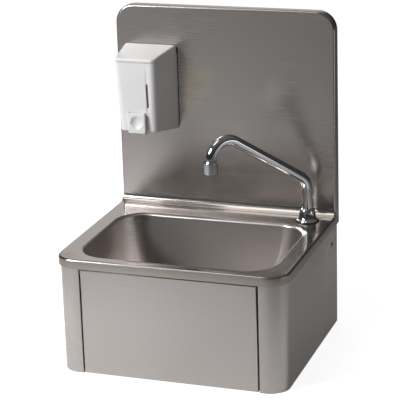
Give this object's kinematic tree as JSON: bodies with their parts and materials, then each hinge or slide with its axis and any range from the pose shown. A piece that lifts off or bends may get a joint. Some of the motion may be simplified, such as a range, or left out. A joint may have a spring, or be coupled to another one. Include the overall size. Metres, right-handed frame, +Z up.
{
  "type": "knee-operated handwash sink",
  "caption": "Small stainless handwash basin with splashback, swivel spout, soap dispenser and a push panel at the front that opens the water by knee.",
  "frame": {"origin": "middle of the footprint at floor level", "axes": "+Z up, +Y towards the wall, -Y the front with the knee panel, +X the user's right"},
  "size_m": [0.4, 0.342, 0.565],
  "materials": {
    "brushed_steel": "fine straight-grain brushed stainless steel, satin, with polished and heat-tinted seams",
    "galvanised_steel": "dull zinc-plated steel",
    "chrome": "bright mirror chrome plating",
    "brass": "machined brass, satin",
    "black_rubber": "matt black rubber",
    "white_abs": "semi-gloss white moulded plastic",
    "smoked_window": "dark smoked level window",
    "natural_plastic": "translucent natural plastic, satin",
    "spring_steel": "drawn spring wire"
  },
  "bodies": {
    "cabinet": {"basin_top": "brushed_steel", "bowl": "brushed_steel", "left_side_panel": "brushed_steel", "right_side_panel": "brushed_steel", "hinge_rivet_left": "brushed_steel", "hinge_rivet_right": "brushed_steel", "stop_rivet_left": "brushed_steel", "stop_rivet_right": "brushed_steel", "side_screw_left": "brushed_steel", "side_screw_right": "brushed_steel", "wall_bracket": "galvanised_steel", "valve_bracket": "galvanised_steel", "valve_body": "brass", "valve_lock_nut": "brass", "inlet_connector_hot": "brass", "inlet_connector_cold": "brass", "check_valve_hot": "natural_plastic", "check_valve_cold": "natural_plastic", "plunger_spring": "spring_steel", "feed_nut_valve": "brass", "feed_tube": "chrome", "feed_nut_tap": "brass", "tap_gasket": "black_rubber", "tap_base": "chrome", "tap_washer": "galvanised_steel", "tap_lock_nut": "brass", "spout_collar_nut": "chrome", "waste_strainer": "brushed_steel", "waste_seal": "black_rubber", "waste_back_nut": "brass", "waste_tail": "white_abs", "dispenser_backplate": "white_abs", "dispenser_screw_lower": "brushed_steel", "dispenser_screw_upper": "brushed_steel", "dispenser_case": "white_abs", "lid_hinge_pin": "chrome", "level_window": "smoked_window", "soap_tank": "natural_plastic", "pump_body": "natural_plastic", "pump_nozzle": "white_abs", "pump_spring": "spring_steel"},
    "knee_panel": {"knee_panel": "brushed_steel", "knee_panel_pad": "black_rubber"},
    "valve_plunger": {"valve_plunger": "chrome"},
    "spout": {"spout_tube": "chrome", "spout_o_ring": "black_rubber", "aerator_housing": "chrome", "aerator_insert": "natural_plastic"},
    "soap_button": {"soap_button": "white_abs", "pump_piston": "natural_plastic"},
    "dispenser_lid": {"dispenser_lid": "white_abs"}
  },
  "joints": [
    {"name": "knee_panel_swing", "type": "hinge", "parent": "cabinet", "child": "knee_panel", "pos_m": [0, -0.157, 0.178], "axis": [1, 0, 0], "range_deg": [0, 4]},
    {"name": "valve_plunger_slide", "type": "slide", "parent": "cabinet", "child": "valve_plunger", "axis": [0, 1, 0], "range_m": [0, 0.01], "stiffness_N_per_m": 900, "springref_m": -0.012, "deforming": ["plunger_spring"]},
    {"name": "spout_swivel", "type": "hinge", "parent": "cabinet", "child": "spout", "pos_m": [0.15865, 0.118, 0.21], "axis": [0, 0, 1], "range_deg": [-50, 130]},
    {"name": "soap_button_push", "type": "slide", "parent": "cabinet", "child": "soap_button", "axis": [0, 1, 0], "range_m": [0, 0.008], "stiffness_N_per_m": 350, "springref_m": -0.004, "deforming": ["pump_spring"]},
    {"name": "dispenser_lid_hinge", "type": "hinge", "parent": "cabinet", "child": "dispenser_lid", "pos_m": [-0.1355, 0.145, 0.49], "axis": [-1, 0, 0], "range_deg": [0, 90]}
  ],
  "couplings": [
    {"joint": "valve_plunger_slide", "follows": "knee_panel_swing", "m_per_rad": 0.14}
  ]
}
